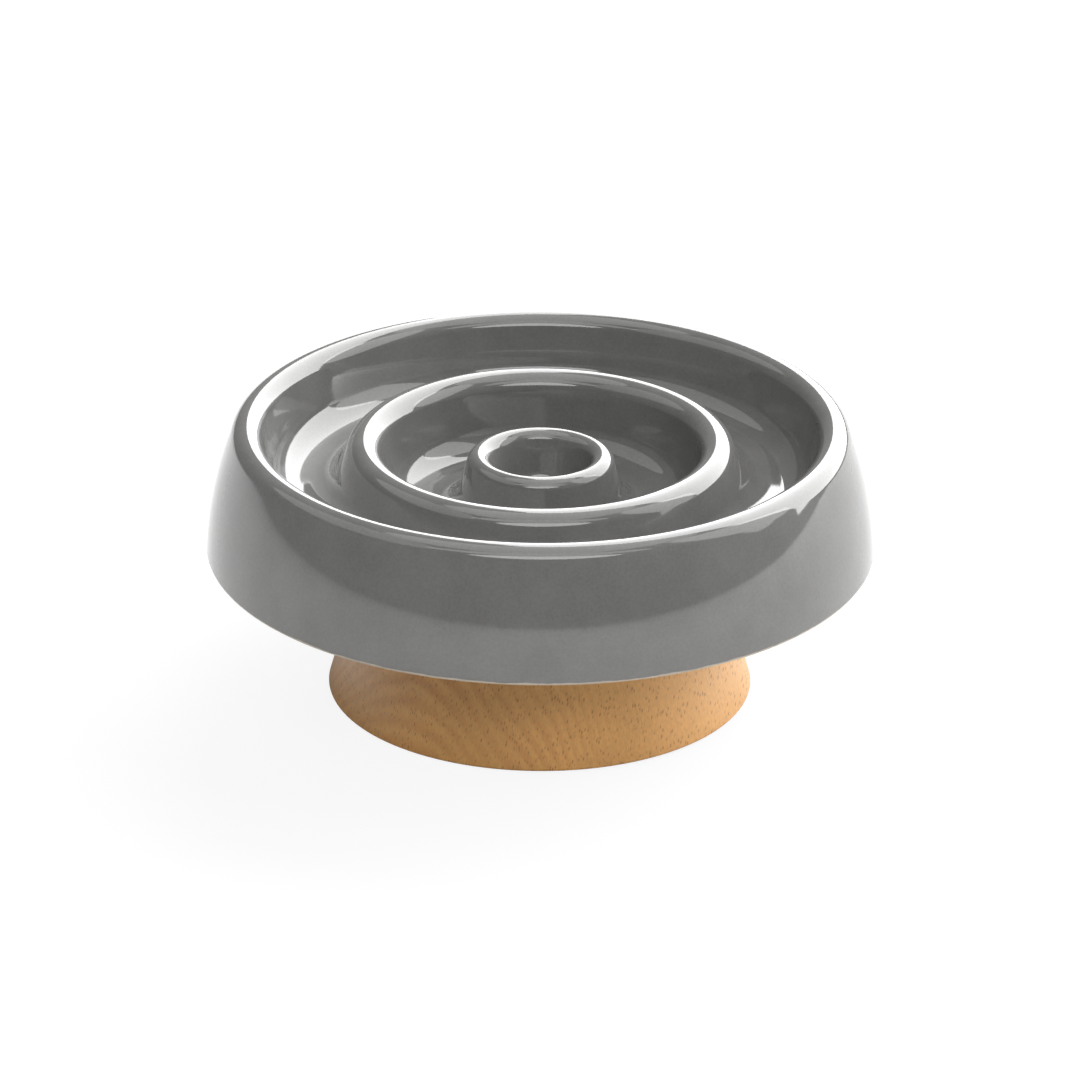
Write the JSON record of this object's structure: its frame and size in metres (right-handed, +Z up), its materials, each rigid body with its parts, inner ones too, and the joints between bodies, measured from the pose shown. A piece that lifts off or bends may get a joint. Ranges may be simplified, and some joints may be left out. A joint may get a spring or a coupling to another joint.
{
  "type": "slow feeder bowl",
  "caption": "Round glazed stoneware slow feeder bowl with concentric channels and a centre well, seated on a turned beech pedestal that it lifts off.",
  "frame": {"origin": "on the table, under the middle of the pedestal", "axes": "+Z up along the common axis of the bowl and the pedestal, +Y away from the viewer, +X to the viewer's right"},
  "size_m": [0.178, 0.178, 0.076],
  "materials": {
    "grey_glaze": "glossy grey glaze",
    "beech": "satin oiled beech",
    "silicone": "matt translucent silicone"
  },
  "bodies": {
    "base": {"pedestal": "beech", "seat_ring": "silicone", "foot_pad_1": "silicone", "foot_pad_2": "silicone", "foot_pad_3": "silicone", "foot_pad_4": "silicone"},
    "bowl": {"bowl": "grey_glaze"}
  },
  "joints": [
    {"name": "bowl_lift", "type": "slide", "parent": "base", "child": "bowl", "axis": [0, 0, 1], "range_m": [0, 0.06]}
  ]
}
